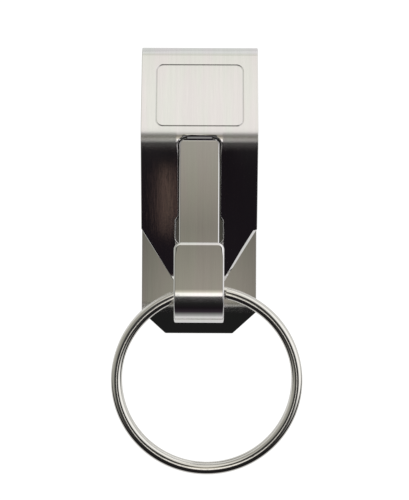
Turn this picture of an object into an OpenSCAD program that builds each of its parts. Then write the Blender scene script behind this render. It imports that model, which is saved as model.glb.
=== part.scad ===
// Slip-on belt key clip: one bent strip of spring steel, and a split ring in its hook.
// The clip lies on its back. X runs across the strip, Y up towards the fold and Z towards the front.
// The origin is on the rear leg's back face, at the middle of its flat length.

/* [Strip] */
// Width of the steel strip
strip_w = 22.9; // [20:0.1:26]
// Thickness of the steel sheet
sheet_t = 0.7; // [0.5:0.05:0.8]

/* [Rear leg] */
// Flat length of the rear leg, from the fold to the start of the lip's bend
leg_len = 48.2; // [46:0.1:52]
// Straight length of the lip past its bend
lip_len = 5.3; // [4.5:0.1:6]
// Angle at which the lip flares backwards
lip_tilt = 19.5; // [12:0.5:25]
// Inner radius of the lip's bend
lip_bend_r = 2.5; // [1.5:0.1:4]
// Width of the lip's lower edge
lip_tip_w = 13.5; // [11:0.1:18]
// Length along the lip of its two cut corners
lip_corner_len = 4.6; // [3:0.1:5]

/* [Fold and front panel] */
// Outer radius of the fold
fold_r = 2.65; // [2:0.05:3.2]
// Height of the crest and of the hook's flap above the rear leg's back face
crest_h = 9.7; // [9:0.1:11]
// Distance from the fold's centre to the crest, along the leg
crest_drop = 15.3; // [14:0.1:18]
// Outer radius of the bend at the crest
crest_r = 5.5; // [4:0.1:6.5]

/* [Stamped border] */
// Width of the stamped border, along X
border_w = 16.8; // [12:0.1:18]
// Height of the stamped border, down the panel
border_h = 13.2; // [9:0.1:14]
// Corner radius of the stamped border
border_r = 1.5; // [1:0.1:3]
// Width of the stamped line
border_line_w = 0.3; // [0.2:0.05:0.6]
// Depth of the stamped line
border_line_h = 0.1; // [0.05:0.01:0.2]
// Distance from the panel's lower end up to the border
border_rise = 0.1; // [0.05:0.05:0.5]

/* [Belt plate] */
// Gap between the rear leg and the pinched front leg
pinch_gap = 0.3; // [0.2:0.05:0.6]
// Distance from the crest down to the pinch line, along the leg
pinch_drop = 28.4; // [26:0.1:30]
// Inner radius of the bend at the pinch line
pinch_r = 5; // [3.5:0.1:6]
// Distance from the crest down to where the plate starts to narrow
taper_drop = 18.1; // [17:0.1:19]
// Distance from the pinch line down to where the plate has narrowed to the hook
neck_drop = 0.3; // [0.1:0.1:1]

/* [Gate tongue] */
// Width of the tongue
tongue_w = 8; // [6.5:0.1:8.2]
// Width of the slit on each side of the tongue
slit_w = 0.4; // [0.3:0.05:0.6]
// Corner radius at the top of the tongue's window
window_r = 1.1; // [0.6:0.1:1.4]
// Distance from the crest down to the lower end of the window
window_drop = 20.9; // [19:0.1:21.6]
// Width of the window's lower end, which is wider than its slits
relief_w = 9.3; // [9:0.05:9.6]
// Length of the window's wider lower end
relief_len = 4.9; // [4:0.1:6]
// Corner radius of the window's wider lower end
relief_r = 1; // [0.6:0.1:1.4]
// Gap between the tongue and the flap that it rests under
gate_gap = 0.1; // [0.05:0.05:0.3]
// Length of the tongue that lies under the flap
gate_lap = 1.2; // [0.8:0.1:2]
// Distance from the crest up to where the step to the tongue starts
step_rise = 0.3; // [0.1:0.05:0.6]
// Length along the leg of the step that leads from the crest down to the tongue
step_len = 1; // [0.8:0.05:1.3]

/* [Ring hook] */
// Width of the hook
hook_w = 9.8; // [9:0.1:11]
// Distance from the pinch line down to the bottom of the hook
hook_drop = 8.2; // [7.5:0.1:9]
// Outer radius of the hook's upper, wider bend
bow_r = 7.5; // [6.5:0.1:8]
// Angle of the hook's upper, wider bend
bow_angle = 52; // [45:1:58]
// Flat length of the flap
flap_len = 9.1; // [8.5:0.1:10]
// Corner radius of the flap's tip
flap_r = 1.4; // [0.8:0.1:2]

/* [Split ring] */
// Outer diameter of the ring
ring_d = 38.1; // [34:0.1:40]
// Width of the wire across the ring's radius
wire_w = 2.15; // [1.8:0.05:2.3]
// Height of each coil
coil_h = 1.45; // [1.2:0.05:1.5]
// Gap between the two coils
coil_gap = 0.08; // [0.05:0.01:0.15]
// Distance from the hook's bottom to the middle of the wire that lies in it
ring_set = 6.25; // [5.8:0.05:6.6]
// Sideways place of the ring's centre from the clip's centre line
ring_shift = 1.6; // [0:0.1:2]
// Gap that lets the wire turn on the hook's lower wall
ring_clear = 0.4; // [0.35:0.05:0.6]

/* [Hidden] */
$fn = 96;

// Running clearance between a rounded leaf end and the seat that it flexes in
flex_clear = 0.03;
// Overrun of every cut
cut = 1;
// How far the tongue's root reaches into the crest and lies below its face, and the points along its step
root_bite = 0.4;
root_sink = 0.09;
root_points = 12;
// Clearance of the ring's far side above the surface that the clip lies on, and the share of
// the wire's width that its lean adds to its height there
floor_clear = 0.05;
lean_share = 0.1;
// Largest turn between two points of a bend
arc_step_angle = 4;
// Half the angle of the ring's coil step, and the place of that step round the ring
step_half_angle = 17;
step_place_angle = 95;
// Power of the curve that rounds the wire's section
wire_power_share = 0.62;
// Counts of sections along the wire and of sides round it
wire_rings = 150;
wire_sides = 12;

// Centres of the fold, the crest and the pinch bend in profile, and the tilts of the faces between them
fold_c = [leg_len / 2, fold_r];
crest_c = [fold_c[0] - crest_drop, crest_h - crest_r];
pinch_c = [crest_c[0] - pinch_drop, sheet_t + pinch_gap + sheet_t + pinch_r];
panel_run = norm(fold_c - crest_c);
panel_tilt = asin((crest_r - fold_r) / panel_run) + atan2(crest_c[1] - fold_c[1], crest_drop);
plate_run = norm(crest_c - pinch_c);
plate_tilt = asin((crest_r + pinch_r) / plate_run) - atan2(pinch_c[1] - crest_c[1], pinch_drop);
panel_a = 90 - panel_tilt;
plate_a = 90 + plate_tilt;

// Hook: the stem's back face, the lower bend and the wider upper bend that meets it
stem_z = sheet_t + pinch_gap;
hook_h = crest_h - stem_z;
heel_r = (hook_h - bow_r * (1 - cos(bow_angle))) / (1 + cos(bow_angle));
hook_y = pinch_c[0] - hook_drop;
heel_c = [hook_y + heel_r, stem_z + heel_r];
bow_a = bow_angle - 90;
bow_c = heel_c + (bow_r - heel_r) * [cos(bow_a), sin(bow_a)];
flap_y = bow_c[0] + flap_len;
taper_y = crest_c[0] - taper_drop;
neck_y = pinch_c[0] - neck_drop;

// Tongue: its face lies under the flap, and its flex line is at the foot of the step
tongue_top = crest_h - sheet_t - gate_gap;
step_h = crest_h - tongue_top;
seat_r = sheet_t / 2 + flex_clear;
window_w = tongue_w + 2 * slit_w;
root_w = window_w - 2 * window_r;
step_y = crest_c[0] + step_rise;
window_top = step_y - step_len / 2;
window_low = crest_c[0] - window_drop;
flex_c = [step_y - step_len - seat_r, tongue_top - sheet_t / 2];
tongue_end = flap_y - gate_lap;

// Lip: its bend, its lower edge on the back face, and where its corners start
lip_c = [-leg_len / 2, -lip_bend_r];
lip_a = 90 + lip_tilt;
lip_edge = pol(lip_c, lip_bend_r, lip_a) - lip_len * [cos(lip_tilt), sin(lip_tilt)];
corner_y = lip_edge[0] + lip_corner_len * cos(lip_tilt);

// Ring: the middle of the wire in the hook, and the tilt at which its far side meets the surface below
wire_r = (ring_d - wire_w) / 2;
ring_h = 2 * coil_h + coil_gap;
swing_c = [hook_y + ring_set, stem_z + sheet_t + ring_h / 2 + ring_clear];
floor_tilt = atan2(-lip_edge[1], leg_len / 2 - lip_edge[0]);
far_y = swing_c[0] - 2 * wire_r;
floor_z = lip_edge[1] - (lip_edge[0] - far_y) * tan(floor_tilt);
far_z = floor_z + (ring_h + wire_w * lean_share) / 2 + floor_clear;
ring_tilt = asin((swing_c[1] - far_z) / (2 * wire_r));

// Point at radius r and angle a round c
function pol(c, r, a) = c + r * [cos(a), sin(a)];

// Bend of the sheet, as pairs of a point on the front face and the angle of that face's normal.
// The centre lies behind the front face where r is above zero, and before it where r is below zero.
function bend(c, r, a0, a1) =
  let (n = ceil(abs(a1 - a0) / arc_step_angle))
  [for (k = [0:n]) let (a = a0 + (a1 - a0) * k / n) [pol(c, r, a), a]];

// Points round a rounded leaf end, without its first and last
function nose(c, a0, a1) =
  let (n = ceil(abs(a1 - a0) / arc_step_angle / 3))
  [for (k = [1:n - 1]) pol(c, sheet_t / 2, a0 + (a1 - a0) * k / n)];

// Profile of the sheet behind a path of the front face, with a rounded end before its start
module profile(path, start = []) {
  last = len(path) - 1;
  front = [for (p = path) p[0]];
  back = [for (k = [last:-1:0]) pol(path[k][0], -sheet_t, path[k][1])];
  polygon(concat(front, back, start));
}

// Turns a profile, drawn as Y and Z, into a strip of the given width across X
module strip(w) {
  rotate([90, 0, 90]) linear_extrude(w, center = true) children();
}

// Upright prism that trims the strip to an outline drawn in X and Y
module trim_prism() {
  translate([0, 0, -crest_h]) linear_extrude(3 * crest_h) children();
}

// Rectangle with its two upper corners rounded, from y0 up to y1
module arched_outline(w, y0, y1, r) {
  translate([-w / 2, y0]) square([w, y1 - r - y0]);
  translate([-w / 2 + r, y0]) square([w - 2 * r, y1 - y0]);
  for (side = [-1, 1]) translate([side * (w / 2 - r), y1 - r]) circle(r);
}

// Rectangle with four rounded corners, its lower edge at y = 0
module border_outline(w, h, r) {
  translate([-w / 2, r]) square([w, h - 2 * r]);
  translate([-w / 2 + r, 0]) square([w - 2 * r, h]);
  for (x = [r - w / 2, w / 2 - r], y = [r, h - r]) translate([x, y]) circle(r);
}

// Flat leg behind the belt, with a flared lip whose corners are cut
module rear_leg() {
  half = strip_w / 2;
  half_tip = lip_tip_w / 2;
  low_half = half_tip - cut * (half - half_tip) / (corner_y - lip_edge[0]);
  lip_end = lip_edge + sheet_t * [cos(lip_a), sin(lip_a)];
  path = concat([[[leg_len / 2, sheet_t], 90]], bend(lip_c, lip_bend_r + sheet_t, 90, lip_a), [[lip_end, lip_a]]);
  color("silver") intersection() {
    strip(strip_w) difference() {
      profile(path);
      translate([leg_len / 2, sheet_t / 2]) circle(seat_r);
    }
    trim_prism() polygon([
      [-half, fold_c[0] + cut], [-half, corner_y], [-low_half, lip_edge[0] - cut],
      [low_half, lip_edge[0] - cut], [half, corner_y], [half, fold_c[0] + cut]
    ]);
  }
}

// U-shaped fold that springs the two legs together, with a rounded end in the rear leg's seat
module top_fold() {
  color("gainsboro") strip(strip_w)
    profile(bend(fold_c, fold_r, -90, panel_a), nose([leg_len / 2, sheet_t / 2], 90, 270));
}

// Sloping panel below the fold, with a stamped border that has nothing inside
module front_panel() {
  low = pol(crest_c, crest_r, panel_a);
  color("gainsboro") difference() {
    strip(strip_w) profile([[pol(fold_c, fold_r, panel_a), panel_a], [low, panel_a]]);
    translate([0, low[0], low[1]]) rotate([-panel_tilt, 0, 0]) translate([0, border_rise, -border_line_h])
      linear_extrude(cut) difference() {
        border_outline(border_w, border_h, border_r);
        translate([0, border_line_w])
          border_outline(border_w - 2 * border_line_w, border_h - 2 * border_line_w, border_r - border_line_w);
      }
  }
}

// Crest and the plate that slopes back to the pinch line, with the tongue's window and its stepped root
module belt_plate() {
  half = strip_w / 2;
  neck = hook_w / 2;
  top = crest_c[0] + crest_r;
  path = concat(
    bend(crest_c, crest_r, panel_a, plate_a), bend(pinch_c, -pinch_r, plate_a, 90),
    [[[neck_y, stem_z + sheet_t], 90]]
  );
  color("dimgray") {
    difference() {
      intersection() {
        strip(strip_w) profile(path);
        trim_prism() polygon([
          [-half, top], [-half, taper_y], [-neck, neck_y], [neck, neck_y], [half, taper_y], [half, top]
        ]);
      }
      trim_prism() {
        arched_outline(window_w, window_low, window_top, window_r);
        mirror([0, 1]) arched_outline(relief_w, -window_low - relief_len, -window_low, relief_r);
        translate([-root_w / 2, window_top - window_r]) square([root_w, step_y - window_top + window_r]);
      }
    }
    tongue_root();
  }
}

// Step that leads from the crest down to the tongue, with the seat that the tongue flexes in
module tongue_root() {
  under = crest_r - root_sink;
  brow = [for (y = [step_y + root_bite, step_y]) [y, crest_c[1] + sqrt(under ^ 2 - (y - crest_c[0]) ^ 2)]];
  curve = [
    for (k = [1:root_points]) let (share = k / root_points)
      [step_y - step_len * share, tongue_top + step_h * (1 + cos(180 * share)) / 2]
  ];
  face = concat(brow, curve, [[flex_c[0], tongue_top]]);
  under_face = [for (k = [len(face) - 1:-1:0]) face[k] - [0, sheet_t]];
  strip(root_w) difference() {
    polygon(concat(face, under_face));
    translate(flex_c) circle(seat_r);
  }
}

// Leaf cut out of the belt plate, whose free end closes the hook's mouth
module gate_tongue() {
  path = [[[flex_c[0], tongue_top], 90], [[tongue_end, tongue_top], 90]];
  color("silver") intersection() {
    strip(tongue_w) profile(path, nose(flex_c, -90, 90));
    trim_prism() arched_outline(tongue_w, tongue_end - cut, flex_c[0] + sheet_t, window_r);
  }
}

// Stem, round bend and flat flap of the hook that holds the ring
module ring_hook() {
  path = concat(
    [[[neck_y, stem_z + sheet_t], 90]], bend(heel_c, sheet_t - heel_r, 90, bow_a),
    bend(bow_c, sheet_t - bow_r, bow_a, -90), [[[flap_y, crest_h - sheet_t], -90]]
  );
  color("silver") intersection() {
    strip(hook_w) profile(path);
    trim_prism() arched_outline(hook_w, hook_y - cut, flap_y, flap_r);
  }
}

// Height of the wire's middle at an angle along its two turns
function coil_z(a) = (coil_h + coil_gap) / 2 * sin(90 * max(-1, min(1, (a - 360) / step_half_angle)));

// Half width and half height of the wire, turned by angle b round its section
function wire_u(b) = wire_w / 2 * sign(cos(b)) * abs(cos(b)) ^ wire_power_share;
function wire_v(b) = coil_h / 2 * sign(sin(b)) * abs(sin(b)) ^ wire_power_share;

// Two coils wound from one wire, one above the other, joined by a short step
module split_ring() {
  a0 = step_half_angle;
  a1 = 720 - step_half_angle;
  points = [
    for (i = [0:wire_rings], j = [0:wire_sides - 1])
      let (a = a0 + (a1 - a0) * i / wire_rings, b = 360 * (j + 0.5) / wire_sides)
      let (r = wire_r + wire_u(b), turn = a + step_place_angle)
      [r * cos(turn), r * sin(turn), coil_z(a) + wire_v(b)]
  ];
  last = wire_rings * wire_sides;
  sides = [
    for (i = [0:wire_rings - 1], j = [0:wire_sides - 1], half = [0, 1])
      let (p = i * wire_sides + j, q = i * wire_sides + (j + 1) % wire_sides)
      half == 0 ? [p, p + wire_sides, q] : [q, p + wire_sides, q + wire_sides]
  ];
  ends = [
    for (j = [1:wire_sides - 2], half = [0, 1])
      half == 0 ? [0, j, j + 1] : [last, last + j + 1, last + j]
  ];
  color("silver") translate([ring_shift, swing_c[0], swing_c[1]]) rotate([ring_tilt, 0, 0])
    translate([0, -wire_r, 0]) polyhedron(points, concat(sides, ends));
}

rear_leg();
top_fold();
front_panel();
belt_plate();
gate_tongue();
ring_hook();
split_ring();
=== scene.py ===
import math

import bmesh
import bpy
import numpy as np
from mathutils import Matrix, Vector


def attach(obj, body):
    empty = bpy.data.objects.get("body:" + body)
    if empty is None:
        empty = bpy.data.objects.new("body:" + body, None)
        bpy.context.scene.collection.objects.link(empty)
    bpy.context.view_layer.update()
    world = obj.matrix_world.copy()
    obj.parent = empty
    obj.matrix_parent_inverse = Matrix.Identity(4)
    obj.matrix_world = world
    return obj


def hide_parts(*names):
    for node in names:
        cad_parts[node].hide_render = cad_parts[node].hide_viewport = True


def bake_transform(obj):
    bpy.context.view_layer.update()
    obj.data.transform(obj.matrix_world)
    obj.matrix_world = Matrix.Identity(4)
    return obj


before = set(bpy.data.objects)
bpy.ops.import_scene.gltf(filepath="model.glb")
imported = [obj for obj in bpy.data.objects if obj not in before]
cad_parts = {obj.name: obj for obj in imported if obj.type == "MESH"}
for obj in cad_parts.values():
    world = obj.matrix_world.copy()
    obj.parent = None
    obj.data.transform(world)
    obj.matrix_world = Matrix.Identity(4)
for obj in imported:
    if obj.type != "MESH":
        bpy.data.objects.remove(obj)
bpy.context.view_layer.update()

MM = 0.001

# Strip, fold and crest, as the CAD has them
STRIP_W = 22.9
SHEET_T = 0.7
LEG_LEN = 48.2
LIP_LEN = 5.3
LIP_TILT = 19.5
LIP_BEND_R = 2.5
LIP_TIP_W = 13.5
LIP_CORNER_LEN = 4.6
FOLD_R = 2.65
CREST_H = 9.7
CREST_DROP = 15.3
CREST_R = 5.5

# Stamped border
BORDER_W = 17.3
BORDER_H = 13.2
BORDER_R = 1.5
BORDER_LINE_W = 0.34
BORDER_LINE_H = 0.13
BORDER_RISE = 0.1

# Plate, window and tongue
PINCH_GAP = 0.3
PINCH_DROP = 28.4
PINCH_R = 5
TAPER_DROP = 18.1
NECK_DROP = 0.3
TONGUE_W = 7.8
SLIT_W = 0.3
SLIT_RUN = 0.35
WINDOW_R = 1.5
WINDOW_DROP = 20.9
RELIEF_W = 9.3
RELIEF_LEN = 4.9
RELIEF_R = 1
GATE_GAP = 0.1
GATE_LAP = 1.2
STEP_RISE = 0.2
STEP_LEN = 1.3

# Hook
HOOK_W = 9.8
HOOK_DROP = 8.2
BOW_R = 7.5
BOW_ANGLE = 52
FLAP_LEN = 9.1
FLAP_R = 1.4

# Split ring
RING_D = 38.1
WIRE_W = 2.15
WIRE_ROUNDNESS = 0.85
WIRE_SIDES = 36
COIL_H = 1.45
COIL_GAP = 0.08
COIL_POINTS = 721
COIL_STEP_ANGLE = 17
COIL_STEP_PLACE = 95
RING_SET = 6.25
RING_SHIFT = 1.6
RING_CLEAR = 0.4
FLOOR_CLEAR = 0.05
LEAN_SHARE = 0.1

# Edges of the sheet, which differ from one cut to the next: width and depth of the rounding or of
# the slope
ROUNDED = {
    "sheared": (0.12, 0.12), "slit": (0.05, 0.05), "window": (0.28, 0.28),
    "relief": (0.26, 0.26), "tongue": (0.26, 0.26), "hook": (0.3, 0.3), "flap": (0.58, 0.33),
    "left slant": (0.16, 0.16),
}
SLOPED = {"right slant": (0.62, 0.52), "right slant's foot": (0.44, 0.36)}
BACK_RIM = (0.1, 0.1)
RIM_STEPS = 6
RIM_FADE_LEN = 3.5
CORNER_R = 0.45

# Places along the slanted edges that get a point, as shares of their height
SLANT_SHARES = (0.05, 0.4)
SLANT_FOOT_SHARES = (0.835, 0.87, 0.905, 0.94, 0.972)

# How finely the outline's corners, the profile and the bent sheet are cut, in degrees
OUTLINE_STEP = 10
PROFILE_STEP = 0.25
BEND_STEP = 3.0

# Cuts across the tongue's step, cuts past it and the length that they take, and the width over
# which the plate beside the step stops following it down
STEP_CUTS = 24
LEAF_CUTS = 14
LEAF_CUTS_LEN = 6
ROOT_BLEND = 1.0

# Where bends have dulled the steel: places up the strip at which that begins, is full, fades and
# ends, and how much rougher the steel is there
CREST_DULL = (5.2, 7.8, 8.9, 10.3)
LIP_DULL = (-26.6, -25.4, -24.4, -23.4)
BOW_DULL = (-24.4, -23.4, -22.8, -22.3)
DULL_ROUGH = 0.2

# Shares by which the rear leg is darker, and by which painted shade darkens it behind the window
LEG_DARKER = 0.13
SLIT_SHADE_DARKER = 0.7

# Camera, with angles in degrees and the focal length in pixels of the picture, and the floor
CAMERA_DISTANCE = 300.0
CAMERA_TILT = 0.55
CAMERA_ROLL = 0.25
CAMERA_MIDDLE = (1.07, -13.39, 0)
FOCAL_PX = 1497.5
PICTURE_H_PX = 500
SENSOR_W = 36.0
FLOOR_REACH = 2500.0
FLOOR_DROP = 0.02


def polar(centre, radius, angle):
    """Point at a radius and an angle in degrees round a centre."""
    turn = math.radians(angle)
    return centre[0] + radius * math.cos(turn), centre[1] + radius * math.sin(turn)


# Centres of the bends in profile, and the angles of the faces between them
fold_c = (LEG_LEN / 2, FOLD_R)
crest_c = (fold_c[0] - CREST_DROP, CREST_H - CREST_R)
pinch_c = (crest_c[0] - PINCH_DROP, SHEET_T + PINCH_GAP + SHEET_T + PINCH_R)
panel_run = math.dist(fold_c, crest_c)
panel_tilt = math.degrees(
    math.asin((CREST_R - FOLD_R) / panel_run) + math.atan2(crest_c[1] - fold_c[1], CREST_DROP)
)
plate_run = math.dist(crest_c, pinch_c)
plate_tilt = math.degrees(
    math.asin((CREST_R + PINCH_R) / plate_run) - math.atan2(pinch_c[1] - crest_c[1], PINCH_DROP)
)
panel_a = 90 - panel_tilt
plate_a = 90 + plate_tilt
stem_z = SHEET_T + PINCH_GAP
bow_share = math.cos(math.radians(BOW_ANGLE))
heel_r = (CREST_H - stem_z - BOW_R * (1 - bow_share)) / (1 + bow_share)
hook_y = pinch_c[0] - HOOK_DROP
heel_c = (hook_y + heel_r, stem_z + heel_r)
bow_a = BOW_ANGLE - 90
bow_c = polar(heel_c, BOW_R - heel_r, bow_a)
flap_y = bow_c[0] + FLAP_LEN
lip_slope = math.radians(LIP_TILT)
lip_c = (-LEG_LEN / 2, -LIP_BEND_R)
lip_top = polar(lip_c, LIP_BEND_R, 90 + LIP_TILT)
lip_edge = (
    lip_top[0] - LIP_LEN * math.cos(lip_slope), lip_top[1] - LIP_LEN * math.sin(lip_slope),
)

# Places up the strip, and the height of the tongue's face
taper_y = crest_c[0] - TAPER_DROP
neck_y = pinch_c[0] - NECK_DROP
step_y = crest_c[0] + STEP_RISE
window_top = step_y - STEP_LEN / 2
window_low = crest_c[0] - WINDOW_DROP
tongue_end = flap_y - GATE_LAP
tongue_top = CREST_H - SHEET_T - GATE_GAP

# The split ring turns in the hook, and rests with its far side on the floor, which meets the fold's
# back and the lip's edge
wire_r = (RING_D - WIRE_W) / 2
ring_h = 2 * COIL_H + COIL_GAP
swing_c = (hook_y + RING_SET, stem_z + SHEET_T + ring_h / 2 + RING_CLEAR)
floor_slope = -lip_edge[1] / (LEG_LEN / 2 - lip_edge[0])
far_floor_z = lip_edge[1] - (lip_edge[0] - swing_c[0] + 2 * wire_r) * floor_slope
far_z = far_floor_z + (ring_h + WIRE_W * LEAN_SHARE) / 2 + FLOOR_CLEAR
ring_tilt = math.asin((swing_c[1] - far_z) / (2 * wire_r))


class Profile:
    """Outer face of the sheet seen from the side, by the length along it. It is made from points
    (y, z, angle of the face's normal in degrees)."""

    def __init__(self, points):
        self.y, self.z, self.a = np.array(points, float).T
        runs = np.hypot(np.diff(self.y), np.diff(self.z))
        self.s = np.concatenate([[0], np.cumsum(runs)])

    def at(self, s):
        """Place and normal's angle, in radians, at each length s."""
        y, z, a = (np.interp(s, self.s, values) for values in (self.y, self.z, self.a))
        return y, z, np.radians(a)

    def length_at(self, y, low, high):
        """Length between low and high at which the falling profile passes y."""
        inside = (self.s >= low - 1e-6) & (self.s <= high + 1e-6)
        return float(np.interp(-y, -self.y[inside], self.s[inside]))


def bent_profile(start, bends, end):
    """Profile from start through the bends to end, and the lengths at which each bend begins and
    ends. A bend is its centre, its radius to the face, and the normal's first and last angle."""
    points, spans = [(*start, bends[0][2])], []
    for centre, radius, first, last in bends:
        steps = math.ceil(abs(last - first) / PROFILE_STEP)
        spans.append((len(points), len(points) + steps))
        for k in range(steps + 1):
            angle = first + (last - first) * k / steps
            points.append((*polar(centre, radius, angle), angle))
    points.append((*end, bends[-1][3]))
    made = Profile(points)
    return made, [(float(made.s[i]), float(made.s[j])) for i, j in spans]


strip, bend_spans = bent_profile(
    lip_edge,
    [
        (lip_c, -LIP_BEND_R, LIP_TILT - 90, -90),
        (fold_c, FOLD_R, -90, panel_a),
        (crest_c, CREST_R, panel_a, plate_a),
        (pinch_c, -PINCH_R, plate_a, 90),
        (heel_c, SHEET_T - heel_r, 90, bow_a),
        (bow_c, SHEET_T - BOW_R, bow_a, -90),
    ],
    (flap_y, CREST_H - SHEET_T),
)
_, fold_bend, crest_bend, _, heel_bend, _ = bend_spans
strip_len = float(strip.s[-1])


def plate_len(y):
    """Length along the strip at a place y between the crest and the hook's heel."""
    return strip.length_at(y, crest_bend[0], heel_bend[0])


def leaf_profile(steps=60):
    """Face of the tongue, from the crest down its step and along its flat. The step is pressed down
    without turning the sheet, so that its back doesn't fold over itself."""
    start = plate_len(step_y)
    y0, z0, a0 = (float(v) for v in strip.at(start))
    slope = -math.cos(a0) / math.sin(a0)
    share = np.arange(steps + 1) / steps
    y = y0 - STEP_LEN * share
    drop = (z0 - tongue_top) * (1 + np.cos(np.pi * share)) / 2
    z = tongue_top + drop + slope * (y - y0) * (1 - share) ** 2
    a = np.degrees(a0) + (90 - np.degrees(a0)) * share
    return Profile([*zip(y, z, a), (tongue_end, tongue_top, 90)])


# Lengths along the strip, and along the tongue, at which things happen
leaf = leaf_profile()
step_s = plate_len(step_y)
step_end_s = plate_len(step_y - STEP_LEN)
window_s = plate_len(window_top)
window_end_s = plate_len(window_low)
relief_s = plate_len(window_low + RELIEF_LEN)
neck_s = plate_len(neck_y)
root_s = window_s + SLIT_W / 2
root_half = TONGUE_W / 2 + SLIT_W - WINDOW_R - SLIT_RUN
leaf_end_s = window_end_s - SLIT_W
leaf_stretch = float(leaf.s[-1]) / (leaf_end_s - step_s)


def rounded(corners):
    """Outline through corners (x, s, radius, rim), as points (x, s, out_x, out_s, rim) with the
    direction out of the steel. It runs anticlockwise round the steel, and clockwise round a
    hole."""
    outline = []
    for i, (x, s, radius, rim) in enumerate(corners):
        here = Vector((x, s))
        came = (here - Vector(corners[i - 1][:2])).normalized()
        goes = (Vector(corners[(i + 1) % len(corners)][:2]) - here).normalized()
        turn = math.atan2(came.x * goes.y - came.y * goes.x, came.dot(goes))
        if not radius:
            out = (came + goes).normalized()
            outline.append((here.x, here.y, out.y, -out.x, rim))
            continue
        side = math.copysign(radius, turn)
        begin = here - came * radius * math.tan(abs(turn) / 2)
        centre = begin + side * Vector((-came.y, came.x))
        steps = max(2, math.ceil(math.degrees(abs(turn)) / OUTLINE_STEP))
        for k in range(steps + 1):
            heading = math.atan2(came.y, came.x) + turn * k / steps
            out = Vector((math.sin(heading), -math.cos(heading)))
            outline.append((*(centre + side * out), out.x, out.y, rim))
    return outline


def mirrored(corners):
    """The same corners on the other side, in the order that carries an outline on."""
    return [(-x, s, radius, rim) for x, s, radius, rim in reversed(corners)]


def steel_outline():
    """Outline of the whole strip when flat, from the lip's tip to the flap's end."""
    half, tip, neck = STRIP_W / 2, LIP_TIP_W / 2, HOOK_W / 2
    right = [
        (tip, 0, CORNER_R, "sheared"), (half, LIP_CORNER_LEN, CORNER_R, "sheared"),
        (half, plate_len(taper_y), CORNER_R, "sheared"),
    ]
    for place, shares in (
        ("right slant", SLANT_SHARES), ("right slant's foot", SLANT_FOOT_SHARES),
    ):
        for share in shares:
            y = taper_y + (neck_y - taper_y) * share
            right.append((half + (neck - half) * share, plate_len(y), 0, place))
    right += [
        (neck, neck_s, CORNER_R, "hook"), (neck, strip_len - 2 * FLAP_R, 0, "hook"),
        (neck, strip_len, FLAP_R, "flap"),
    ]
    left = [
        (x, s, radius, "left slant" if rim in SLOPED else rim) for x, s, radius, rim in right
    ]
    return rounded(right + mirrored(left))


def slit_outline():
    """Outline of the window round the tongue: its outer side, and back along the tongue."""
    wide, relief_half, leaf_w = TONGUE_W / 2 + SLIT_W, RELIEF_W / 2, TONGUE_W / 2
    # Under half the slit's width, which leaves a short straight edge between its end's two corners
    end_r = SLIT_W * 0.45
    left = [
        (-root_half, window_s + SLIT_W, end_r, "slit"), (-root_half, window_s, end_r, "slit"),
        (-wide, window_s, WINDOW_R, "window"), (-wide, window_s + RIM_FADE_LEN, 0, "slit"),
        (-wide, relief_s - CORNER_R, CORNER_R, "slit"),
        (-relief_half, relief_s + CORNER_R, CORNER_R, "relief"),
        (-relief_half, window_end_s, RELIEF_R, "relief"),
    ]
    leaf_left = [
        (-leaf_w, leaf_end_s, CORNER_R, "tongue"),
        (-leaf_w, window_s + SLIT_W, WINDOW_R - SLIT_W, "tongue"),
    ]
    return rounded(left + mirrored(left) + mirrored(leaf_left) + leaf_left)


def border_outline():
    """Outer outline of the stamped border, which has no rim."""
    side, low = BORDER_W / 2, crest_bend[0] - BORDER_RISE
    right = [(side, low - BORDER_H, BORDER_R, None), (side, low, BORDER_R, None)]
    return rounded(right + mirrored(right))


def add_ring(sheet, outline, row):
    """One closed row of vertices beside an outline, which remember the way that they face. The
    row's function gives the inset, the height and the outward and upward parts of the normal, from
    the rim at each point."""
    facing = sheet.verts.layers.float_vector["facing"]
    ring = []
    for x, s, out_x, out_s, rim in outline:
        inset, height, outward, upward = row(rim)
        v = sheet.verts.new((x - inset * out_x, s - inset * out_s, height))
        v[facing] = (out_x * outward, out_s * outward, upward)
        ring.append(v)
    return ring


def join_rings(sheet, rows):
    """Faces between each closed row of vertices and the next."""
    for low, high in zip(rows, rows[1:]):
        for k in range(len(low)):
            sheet.faces.new((low[k - 1], low[k], high[k], high[k - 1]))


def ring_edges(sheet, row):
    """Edges along a closed row of vertices."""
    pairs = [(row[k - 1], row[k]) for k in range(len(row))]
    return [sheet.edges.get(pair) or sheet.edges.new(pair) for pair in pairs]


def add_edge(sheet, outline):
    """Rounded edge of the sheet along an outline. Returns its rows on the front and on the back."""

    def round_row(turn, wide, deep):
        size = math.hypot(math.cos(turn) / wide, math.sin(turn) / deep)
        return (
            wide * (1 - math.cos(turn)), -deep * (1 - math.sin(turn)),
            math.cos(turn) / wide / size, math.sin(turn) / deep / size,
        )

    def front(turn, rim):
        if rim in ROUNDED:
            return round_row(turn, *ROUNDED[rim])
        wide, deep = SLOPED[rim]
        share, size = 1 - turn / (math.pi / 2), math.hypot(wide, deep)
        facing = (deep / size, wide / size) if share > 0 else (0, 1)
        return wide * (1 - share), -deep * share, *facing

    def back(turn, rim):
        inset, height, outward, upward = round_row(turn, *ROUNDED.get(rim, BACK_RIM))
        return inset, -SHEET_T - height, outward, -upward

    turns = [math.pi / 2 * (1 - k / RIM_STEPS) for k in range(RIM_STEPS + 1)]
    rings = [add_ring(sheet, outline, lambda rim, turn=turn: front(turn, rim)) for turn in turns]
    turns.reverse()
    rings += [add_ring(sheet, outline, lambda rim, turn=turn: back(turn, rim)) for turn in turns]
    join_rings(sheet, rings)
    return rings[0], rings[-1]


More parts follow.
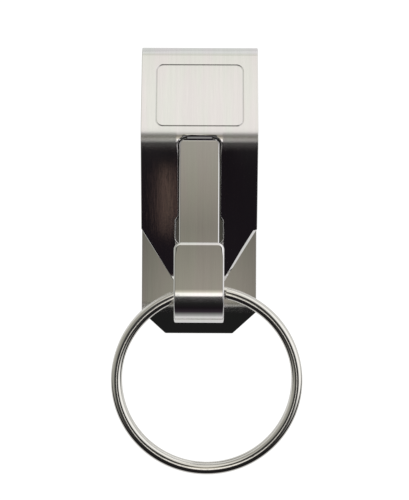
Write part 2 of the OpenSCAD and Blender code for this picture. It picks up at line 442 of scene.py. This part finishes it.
def add_groove(sheet, outline, steps=8):
    """Stamped line inside an outline. Returns its outer and inner rows."""
    rings = []
    for k in range(steps + 1):
        share = k / steps
        wave = 2 * math.pi * share
        slope = -BORDER_LINE_H * math.pi / BORDER_LINE_W * math.sin(wave)
        size = math.hypot(1, slope)
        depth = BORDER_LINE_H * (1 - math.cos(wave)) / 2
        row = (BORDER_LINE_W * share, -depth, slope / size, 1 / size)
        rings.append(add_ring(sheet, outline, lambda rim, row=row: row))
    join_rings(sheet, rings)
    return rings[0], rings[-1]


def sheet_cuts():
    """Lengths at which the flat sheet is cut across, so that it can bend and come apart there."""
    cuts = {fold_bend[0], crest_bend[0], neck_s, root_s}
    for begin, end in bend_spans:
        turn = math.degrees(abs(strip.at(end)[2] - strip.at(begin)[2]))
        cuts.update(np.linspace(begin, end, math.ceil(turn / BEND_STEP) + 1))
    cuts.update(np.linspace(step_s, step_end_s, STEP_CUTS))
    cuts.update(np.linspace(step_end_s, plate_len(step_y - LEAF_CUTS_LEN), LEAF_CUTS))
    return sorted(float(s) for s in cuts)


def flat_sheet():
    """The strip before it is bent: cut out, edges rounded, window slit and border stamped."""
    sheet = bmesh.new()
    sheet.verts.layers.float_vector.new("facing")
    steel_front, steel_back = add_edge(sheet, steel_outline())
    slit_front, slit_back = add_edge(sheet, slit_outline())
    groove_outer, groove_inner = add_groove(sheet, border_outline())
    for rows in (
        (steel_front, slit_front, groove_outer), (groove_inner,), (steel_back, slit_back),
    ):
        edges = [e for row in rows for e in ring_edges(sheet, row)]
        bmesh.ops.triangle_fill(sheet, edges=edges, use_beauty=True, normal=(0, 0, 1))
    bmesh.ops.recalc_face_normals(sheet, faces=sheet.faces)
    for s in sheet_cuts():
        bmesh.ops.bisect_plane(
            sheet, geom=sheet.verts[:] + sheet.edges[:] + sheet.faces[:],
            plane_co=(0, s, 0), plane_no=(0, 1, 0), dist=1e-5,
        )
    return sheet


def bent(flat, leaf_share):
    """Where points of the flat sheet lie once it is bent. The share is how far each one follows the
    tongue."""
    x, s, height = flat.T

    def on(profile, length):
        y, z, a = profile.at(length)
        return y + height * np.cos(a), z + height * np.sin(a)

    y, z = on(strip, s)
    leaf_y, leaf_z = on(leaf, (s - step_s) * leaf_stretch)
    return np.stack([x, y + leaf_share * (leaf_y - y), z + leaf_share * (leaf_z - z)], axis=1)


def root_share(flat):
    """How far points beside the tongue's root follow it down: wholly between the slits, and less
    past their ends."""
    x, s, _ = flat.T
    past = np.clip((np.abs(x) - root_half) / ROOT_BLEND, 0, 1)
    near = (s > step_s) & (s < (window_s + window_end_s) / 2)
    return (1 - past * past * (3 - 2 * past)) * near


def no_share(flat):
    """For a piece that doesn't follow the tongue."""
    return np.zeros(len(flat))


def full_share(flat):
    """For the tongue itself."""
    return np.ones(len(flat))


def in_leaf(place):
    """Whether a place on the flat sheet is on the tongue, and not on the plate round it."""
    inside = abs(place.x) < (TONGUE_W + SLIT_W) / 2
    return inside and root_s < place.y < (window_end_s + leaf_end_s) / 2


def bent_normals(facing, owner, flat, place, reach=0.002):
    """Normals at the corners of faces once place has bent the flat sheet. Each corner has the way
    that it faced on the flat sheet and the index of its own point."""
    columns = []
    for axis in range(3):
        shift = np.zeros(3)
        shift[axis] = reach
        columns.append((place(flat + shift) - place(flat - shift)) / (2 * reach))
    jacobian = np.stack(columns, axis=2)
    normals = np.einsum("nji,nj->ni", np.linalg.inv(jacobian)[owner], facing)
    return normals / np.linalg.norm(normals, axis=1, keepdims=True)


def add_object(name, data):
    """Puts data in the scene as an object."""
    obj = bpy.data.objects.new(name, data)
    bpy.context.scene.collection.objects.link(obj)
    return obj


def formed(sheet, name, keeps, share, finish):
    """Cuts one piece out of the flat sheet, closes its cut ends, bends it and keeps the way that
    its faces face."""
    part = sheet.copy()
    gone = [f for f in part.faces if not keeps(f.calc_center_median())]
    bmesh.ops.delete(part, geom=gone, context="FACES")
    open_edges = [e for e in part.edges if e.is_boundary]
    ends = set(bmesh.ops.holes_fill(part, edges=open_edges)["faces"])
    for cap in ends:
        if cap.loops[0].link_loop_radial_next.vert == cap.loops[0].vert:
            cap.normal_flip()
    many_sided = [f for f in part.faces if len(f.verts) > 4 and f not in ends]
    bmesh.ops.triangulate(part, faces=many_sided)
    part.normal_update()
    part.verts.index_update()
    layer = part.verts.layers.float_vector["facing"]
    flat = np.array([v.co for v in part.verts], float)
    faces, owner, facing = [], [], []
    for f in part.faces:
        corners = list(reversed(f.verts))
        faces.append([v.index for v in corners])
        owner += [v.index for v in corners]
        facing += [tuple(f.normal) if f in ends else tuple(v[layer]) for v in corners]
    part.free()

    def place(points):
        return bent(points, share(points))

    mesh = bpy.data.meshes.new(name)
    mesh.from_pydata((place(flat) * MM).tolist(), [], faces)
    mesh.polygons.foreach_set("use_smooth", [True] * len(mesh.polygons))
    normals = bent_normals(np.array(facing, float), owner, flat, place)
    mesh.normals_split_custom_set(normals.tolist())
    mesh.materials.append(finish)
    mesh.update()
    return add_object(name, mesh)


class Socket:
    """A node's output that takes part in sums. Each sum adds its Math node."""

    def __init__(self, graph, socket):
        self.graph, self.socket = graph, socket

    def math(self, operation, *values):
        return self.graph.node("ShaderNodeMath", {"operation": operation}, dict(enumerate(values)))

    def __add__(self, other):
        return self.math("ADD", self, other)

    def __radd__(self, other):
        return self.math("ADD", other, self)

    def __sub__(self, other):
        return self.math("SUBTRACT", self, other)

    def __rsub__(self, other):
        return self.math("SUBTRACT", other, self)

    def __mul__(self, other):
        return self.math("MULTIPLY", self, other)

    def __rmul__(self, other):
        return self.math("MULTIPLY", other, self)

    def __truediv__(self, other):
        return self.math("DIVIDE", self, other)

    def __rtruediv__(self, other):
        return self.math("DIVIDE", other, self)

    def __pow__(self, other):
        return self.math("POWER", self, other)

    def __neg__(self):
        return self.math("MULTIPLY", self, -1.0)

    def __abs__(self):
        return self.math("ABSOLUTE", self)


class Graph:
    """A node tree that is filled by one method, with short names for what is used often."""

    def __init__(self, tree):
        self.tree = tree

    def node(self, kind, settings=None, values=None, out=0):
        """Adds a node: its settings first, then the values or links of its sockets. Returns one
        output."""
        new = self.tree.nodes.new(kind)
        for key, value in (settings or {}).items():
            if key == "stops":
                ramp = new.color_ramp
                while len(ramp.elements) < len(value):
                    ramp.elements.new(1)
                for element, (place, colour) in zip(ramp.elements, value):
                    element.position = place
                    element.color = colour
            else:
                setattr(new, key, value)
        for key, value in (values or {}).items():
            if isinstance(value, Socket):
                self.tree.links.new(value.socket, new.inputs[key])
            else:
                new.inputs[key].default_value = value
        return Socket(self, new.outputs[out]) if len(new.outputs) else None

    def smooth(self, value, low, high):
        """0 where a value is below low, 1 above high, and a soft rise between."""
        return self.node(
            "ShaderNodeMapRange", {"interpolation_type": "SMOOTHSTEP"},
            {"Value": value, "From Min": low, "From Max": high},
        )

    def between(self, value, begin, full, fades, end):
        """0 outside begin and end, 1 from full to fades, and soft between."""
        return self.smooth(value, begin, full) * (1 - self.smooth(value, fades, end))

    def mix(self, share, a, b):
        """Colour between a and b."""
        return self.node("ShaderNodeMix", {"data_type": "RGBA"}, {0: share, 6: a, 7: b}, 2)

    def parts(self, vector):
        """The three parts of a vector."""
        return [self.node("ShaderNodeSeparateXYZ", None, {0: vector}, axis) for axis in "XYZ"]

    def noise(self, where, scale, detail):
        """Soft noise from 0 to 1."""
        values = {"Vector": where, "Scale": scale, "Detail": detail}
        return self.node("ShaderNodeTexNoise", None, values, "Fac")

    def metal(self, colour, rough, height, strength, distance):
        """Metal surface of a material, with bumps from a height that varies."""
        bump = self.node(
            "ShaderNodeBump", None, {"Strength": strength, "Distance": distance, "Height": height}
        )
        surface = self.node(
            "ShaderNodeBsdfPrincipled", None,
            {"Base Color": colour, "Metallic": 1.0, "Roughness": rough, "Normal": bump},
        )
        self.node("ShaderNodeOutputMaterial", None, {"Surface": surface})


def grey(level):
    return (level, level, level, 1)


def new_material(name):
    """Empty material, and the graph that fills it."""
    material = bpy.data.materials.new(name)
    material.use_nodes = True
    material.node_tree.nodes.clear()
    return material, Graph(material.node_tree)


def streaks(graph, across, along, detail, seed=0.0):
    """Noise drawn out along the strip, as brushing leaves it: scale across it and along it, per
    metre."""
    where = graph.node("ShaderNodeTexCoord", out="Object")
    drawn = graph.node(
        "ShaderNodeMapping", {"vector_type": "POINT"},
        {"Vector": where, "Location": (seed, seed, seed), "Scale": (across, along, along)},
    )
    return graph.noise(drawn, 1.0, detail)


def brushed_spring_steel():
    """Bright rolled steel with fine brushing along the strip. It is dulled at the crest and at the
    bends of the lip and the bow, and a little darker on the rear leg. Behind the window the leg has
    painted shade, much darker, for the shadow deep under the slit."""
    material, graph = new_material("brushed_spring_steel")
    fine = streaks(graph, 9000, 260, 3.0)
    broad = streaks(graph, 1500, 40, 2.0, 3.1)
    tint = streaks(graph, 420, 60, 1.0, 7.7)
    side, up, front = (
        part / MM for part in graph.parts(graph.node("ShaderNodeTexCoord", out="Object"))
    )
    behind = 1 - graph.smooth(front, 0.8, 1.6)
    # The crest is dulled beside the tongue, the lip on the rear leg and the bow in front of it
    crest = graph.between(up, *CREST_DULL) * graph.smooth(abs(side), 4.3, 4.7)
    lip = graph.between(up, *LIP_DULL) * behind
    bow = graph.between(up, *BOW_DULL) * graph.smooth(front, 4, 6)
    dulled = crest.math("MAXIMUM", crest, lip + bow)
    # Painted shade on the middle of the rear leg, from the window's lower end up, deep under the
    # slit
    painted_slit_shade = behind * graph.smooth(up, -14.5, -13) * (1 - graph.smooth(abs(side), 5.5, 8))
    steel = graph.mix(
        graph.smooth(tint, 0.35, 0.65), (0.715, 0.725, 0.70, 1), (0.73, 0.71, 0.71, 1)
    )
    shade = 0.9 + fine * 0.1 + broad * 0.1
    # The leg is a little darker, and painted shade darkens it behind the window
    shade = shade * (1 - behind * LEG_DARKER) * (1 - painted_slit_shade * SLIT_SHADE_DARKER)
    colour = graph.node("ShaderNodeVectorMath", {"operation": "SCALE"}, {0: steel, "Scale": shade})
    worn = graph.smooth(fine, 0.3, 0.7) * 0.015 + graph.smooth(broad, 0.35, 0.65) * 0.01
    graph.metal(colour, 0.03 + worn + dulled * DULL_ROUGH, fine + broad * 0.5, 0.035, 0.02 * MM)
    return material


def nickel_wire():
    """Polished nickel plate over drawn wire: bright, with a faint warm tint and slight waves in its
    reflections."""
    material, graph = new_material("nickel_wire")
    where = graph.node("ShaderNodeTexCoord", out="Object")
    waves = graph.noise(where, 260.0, 2.0)
    specks = graph.noise(where, 2600.0, 3.0)
    colour = graph.mix(waves, (0.65, 0.64, 0.60, 1), (0.71, 0.69, 0.65, 1))
    rough = 0.05 + graph.smooth(specks, 0.45, 0.75) * 0.08
    graph.metal(colour, rough, waves + specks * 0.1, 0.15, 0.1 * MM)
    return material


def coil_tree():
    """Geometry nodes that wind the split ring: two turns of flattened wire with a short step
    between them."""
    tree = bpy.data.node_groups.new("split_ring_coil", "GeometryNodeTree")
    sizes = {
        "Ring Radius": wire_r * MM, "Wire Width": WIRE_W * MM, "Coil Height": COIL_H * MM,
        "Coil Gap": COIL_GAP * MM, "Step Angle": math.radians(COIL_STEP_ANGLE),
        "Step Place": math.radians(COIL_STEP_PLACE), "Roundness": WIRE_ROUNDNESS,
        "Lean": ring_tilt,
    }
    for name in sizes:
        tree.interface.new_socket(name, in_out="INPUT", socket_type="NodeSocketFloat")
    for name, in_out, kind in (
        ("Swing Point", "INPUT", "Vector"), ("Finish", "INPUT", "Material"),
        ("Geometry", "OUTPUT", "Geometry"),
    ):
        tree.interface.new_socket(name, in_out=in_out, socket_type="NodeSocket" + kind)
    graph = Graph(tree)
    group = tree.nodes.new("NodeGroupInput")
    given = {
        name: Socket(graph, group.outputs[name]) for name in [*sizes, "Swing Point", "Finish"]
    }

    def along_curve():
        return graph.node("GeometryNodeSplineParameter")

    def vector(**parts):
        return graph.node("ShaderNodeCombineXYZ", None, parts)

    def flattened(value):
        return value.math("SIGN", value) * abs(value) ** given["Roundness"]

    # The line of the wire: turns about the ring's middle, with the step from one coil to the other
    radius, step = given["Ring Radius"], given["Step Angle"]
    turn = step + along_curve() * (4 * math.pi - 2 * step)
    rise = (turn - 2 * math.pi) / step
    rise = rise.math("MAXIMUM", rise.math("MINIMUM", rise, 1.0), -1.0)
    half_coil = (given["Coil Height"] + given["Coil Gap"]) / 2
    angle = turn + given["Step Place"]
    spot = vector(
        X=radius * turn.math("COSINE", angle), Y=radius * turn.math("SINE", angle),
        Z=half_coil * turn.math("SINE", rise * (math.pi / 2)),
    )
    line = graph.node("GeometryNodeCurvePrimitiveLine")
    line = graph.node("GeometryNodeResampleCurve", None, {"Curve": line, "Count": COIL_POINTS})
    line = graph.node("GeometryNodeSetPosition", None, {"Geometry": line, "Position": spot})
    line = graph.node("GeometryNodeSetCurveNormal", {"mode": "Z_UP"}, {"Curve": line})

    # The section of the wire, and the wire that it makes along the line
    angle = along_curve() * (2 * math.pi)
    spot = vector(
        X=given["Wire Width"] / 2 * flattened(angle.math("COSINE", angle)),
        Y=given["Coil Height"] / 2 * flattened(angle.math("SINE", angle)),
    )
    section = graph.node(
        "GeometryNodeCurvePrimitiveCircle", None, {"Resolution": WIRE_SIDES, "Radius": 1.0}
    )
    section = graph.node("GeometryNodeSetPosition", None, {"Geometry": section, "Position": spot})
    wire = graph.node(
        "GeometryNodeCurveToMesh", None,
        {"Curve": line, "Profile Curve": section, "Fill Caps": True},
    )

    # The ring leans about the point in the hook, which its line passes through
    wire = graph.node(
        "GeometryNodeTransform", None, {"Geometry": wire, "Translation": vector(Y=-radius)}
    )
    lean = graph.node("FunctionNodeEulerToRotation", None, {0: vector(X=given["Lean"])})
    wire = graph.node(
        "GeometryNodeTransform", None,
        {"Geometry": wire, "Translation": given["Swing Point"], "Rotation": lean},
    )
    wire = graph.node("GeometryNodeSetShadeSmooth", None, {0: wire})
    wire = graph.node("GeometryNodeRealizeInstances", None, {0: wire})
    wire = graph.node("GeometryNodeSetMaterial", None, {0: wire, "Material": given["Finish"]})
    result = tree.nodes.new("NodeGroupOutput")
    tree.links.new(wire.socket, result.inputs[0])
    return tree, sizes


def wound_ring(finish):
    """The split ring as a plain mesh."""
    tree, values = coil_tree()
    swing_point = (RING_SHIFT * MM, swing_c[0] * MM, swing_c[1] * MM)
    values = {**values, "Swing Point": swing_point, "Finish": finish}
    holder = add_object("split_ring_holder", bpy.data.meshes.new("split_ring_holder"))
    modifier = holder.modifiers.new("coil", "NODES")
    modifier.node_group = tree
    for item in tree.interface.items_tree:
        if item.in_out == "INPUT":
            modifier[item.identifier] = values[item.name]
    holder.data.update()
    evaluated = holder.evaluated_get(bpy.context.evaluated_depsgraph_get())
    mesh = bpy.data.meshes.new_from_object(evaluated)
    holder.modifiers.remove(modifier)
    bpy.data.objects.remove(holder)
    for face in mesh.polygons:
        face.use_smooth = len(face.vertices) == 4
    return add_object("wound_split_ring", mesh)


def studio_world():
    """Studio round the clip as bright metal shows it: a strip light and a dark flag below, white
    above, and the dark surround of the lens right overhead."""
    world = bpy.data.worlds.new("studio")
    bpy.context.scene.world = world
    world.use_nodes = True
    world.node_tree.nodes.clear()
    graph = Graph(world.node_tree)
    x, y, z = graph.parts(graph.node("ShaderNodeTexCoord", out="Generated"))
    # Angles in degrees from overhead: up the strip, and to the right
    lean = z.math("ARCTAN2", y, z) * (180 / math.pi)
    side = z.math("ARCTAN2", x, z) * (180 / math.pi)
    peak, span = 1.5, 180
    plain, warm, cream, olive = (1, 1, 1), (1.06, 1, 0.85), (1.025, 1, 0.96), (1.01, 1, 0.92)
    plum, russet = (1.3, 1, 1.3), (1.2, 1, 0.97)

    def ramp(angle, levels):
        stops = []
        for place, level, tint in levels:
            colour = (*(level / peak * part for part in tint), 1)
            stops.append(((place + span) / (2 * span), colour))
        share = (angle + span) / (2 * span)
        return graph.node("ShaderNodeValToRGB", {"stops": stops}, {0: share})

    # Brightness towards the ring, below zero, and towards the fold, above it
    along = ramp(lean, [
        (-150, 0.9, plain), (-113, 0.76, plain), (-98, 0.66, plain), (-88, 0.48, plain),
        (-80, 0.2, plain), (-74, 0.03, plum), (-60, 0.01, plum), (-44, 0.018, plain),
        (-37, 0.018, plain), (-34, 0.011, plum), (-28, 0.007, plum), (-26.8, 0.06, russet),
        (-24.8, 0.14, russet), (-23, 0.45, plain), (-21, 1.2, cream), (-19.5, 1.4, cream),
        (-14, 1.4, cream), (-9, 0.75, warm), (-5.5, 0.55, warm), (-1.5, 0.4, warm),
        (-0.5, 0.335, warm), (0.5, 0.325, warm), (1, 0.27, warm), (1.4, 0.27, warm),
        (3.6, 0.39, warm), (8, 0.52, cream), (12, 0.7, cream), (20, 0.98, cream),
        (40, 1.06, cream), (44, 0.84, olive), (75, 0.95, plain),
    ])
    # Brightness to the left and to the right
    across = ramp(side, [
        (-90, 0.6, olive), (-60, 0.5, olive), (-28, 0.38, olive), (-18, 0.05, plain),
        (16, 0.05, plain), (26, 1.3, plain), (50, 1.35, plain), (72, 0.85, plain),
        (90, 0.8, plain),
    ])
    # Beside the lens, beside the flag and towards the walls, brightness goes by the sideways angle
    lens = graph.smooth(abs(side), 0.8, 5) * graph.between(lean, -32, -24, 8, 16)
    flag = graph.smooth(abs(side), 0.95, 1.9) * graph.between(lean, -30, -26, -17, -13) * 0.93
    walls = graph.smooth(abs(side), 15, 40) * graph.smooth(lean, -45, -25)
    sideways = lens.math("MAXIMUM", lens.math("MAXIMUM", lens, flag), walls)
    colour = graph.mix(sideways, along, across)
    # Something brown stands to the left beyond the flag
    away = ((side + 1.66) / 0.34) ** 2 + ((lean + 30.7) / 1.6) ** 2
    brown = tuple(level / peak for level in (0.15, 0.1, 0.083)) + (1,)
    colour = graph.mix(1 - graph.smooth(away, 0.5, 1), colour, brown)
    # The camera itself sees plain white
    rays = graph.node("ShaderNodeLightPath", out="Is Camera Ray")
    colour = graph.mix(rays, colour, grey(1 / peak))
    background = graph.node("ShaderNodeBackground", None, {"Color": colour, "Strength": peak})
    graph.node("ShaderNodeOutputWorld", None, {"Surface": background})


def pale_floor():
    """Floor that the clip lies on: it meets the fold's back and the lip's edge, and shows white but
    keeps the shadow."""
    mesh = bpy.data.meshes.new("floor")
    points = []
    for side, up in ((-1, -1), (1, -1), (1, 1), (-1, 1)):
        x, y = side * FLOOR_REACH, up * FLOOR_REACH
        points.append((x * MM, y * MM, ((y - LEG_LEN / 2) * floor_slope - FLOOR_DROP) * MM))
    mesh.from_pydata(points, [], [(0, 1, 2, 3)])
    floor = add_object("floor", mesh)
    material, graph = new_material("pale_floor")
    camera, glossy, through = (
        graph.node("ShaderNodeLightPath", out=f"Is {kind} Ray")
        for kind in ("Camera", "Glossy", "Transmission")
    )
    # What is seen straight or in the steel is mostly white, and the paper in it keeps the shadow
    seen = camera + glossy + through
    share = seen.math("MINIMUM", seen, 1.0) * 0.8
    paper = graph.node("ShaderNodeBsdfDiffuse", None, {"Color": grey(0.85)})
    white = graph.node(
        "ShaderNodeEmission", None, {"Color": grey(1.0), "Strength": 0.93 + camera * 0.32}
    )
    surface = graph.node("ShaderNodeMixShader", None, {0: share, 1: paper, 2: white})
    graph.node("ShaderNodeOutputMaterial", None, {"Surface": surface})
    mesh.materials.append(material)


def photo_camera():
    """Camera straight above the clip, at the photograph's distance and framing."""
    data = bpy.data.cameras.new("camera")
    data.sensor_width = SENSOR_W
    data.lens = FOCAL_PX * SENSOR_W / PICTURE_H_PX
    data.clip_start = 0.01
    camera = add_object("camera", data)
    tilt = math.radians(CAMERA_TILT)
    away = CAMERA_DISTANCE * Vector((0, -math.sin(tilt), math.cos(tilt)))
    camera.location = (Vector(CAMERA_MIDDLE) + away) * MM
    camera.rotation_euler = (tilt, 0, math.radians(CAMERA_ROLL))
    bpy.context.scene.camera = camera


photo_camera()
studio_world()
pale_floor()
bpy.context.scene.view_settings.view_transform = "Standard"

steel_finish = brushed_spring_steel()
wire_finish = nickel_wire()
blank = flat_sheet()


def strip_piece(name, begin, end, share=no_share):
    """Piece of the strip between two lengths along it, without the tongue."""
    return formed(
        blank, name, lambda place: begin < place.y < end and not in_leaf(place), share,
        steel_finish,
    )


leg = strip_piece("flared_rear_leg", -math.inf, fold_bend[0])
fold = strip_piece("sprung_top_fold", *fold_bend)
panel = strip_piece("bordered_front_panel", fold_bend[1], crest_bend[0])
plate = strip_piece("windowed_belt_plate", crest_bend[0], neck_s, root_share)
hook = strip_piece("bowed_ring_hook", neck_s, math.inf)
tongue = formed(blank, "stepped_gate_tongue", in_leaf, full_share, steel_finish)
blank.free()
ring = wound_ring(wire_finish)

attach(leg, "rear")
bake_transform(fold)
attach(panel, "front")
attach(plate, "front")
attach(hook, "front")
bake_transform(tongue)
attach(ring, "ring")
for piece, node in (
    (leg, "rear_leg"), (fold, "top_fold"), (panel, "front_panel"), (plate, "belt_plate"),
    (hook, "ring_hook"), (tongue, "gate_tongue"), (ring, "split_ring"),
):
    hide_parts(node)
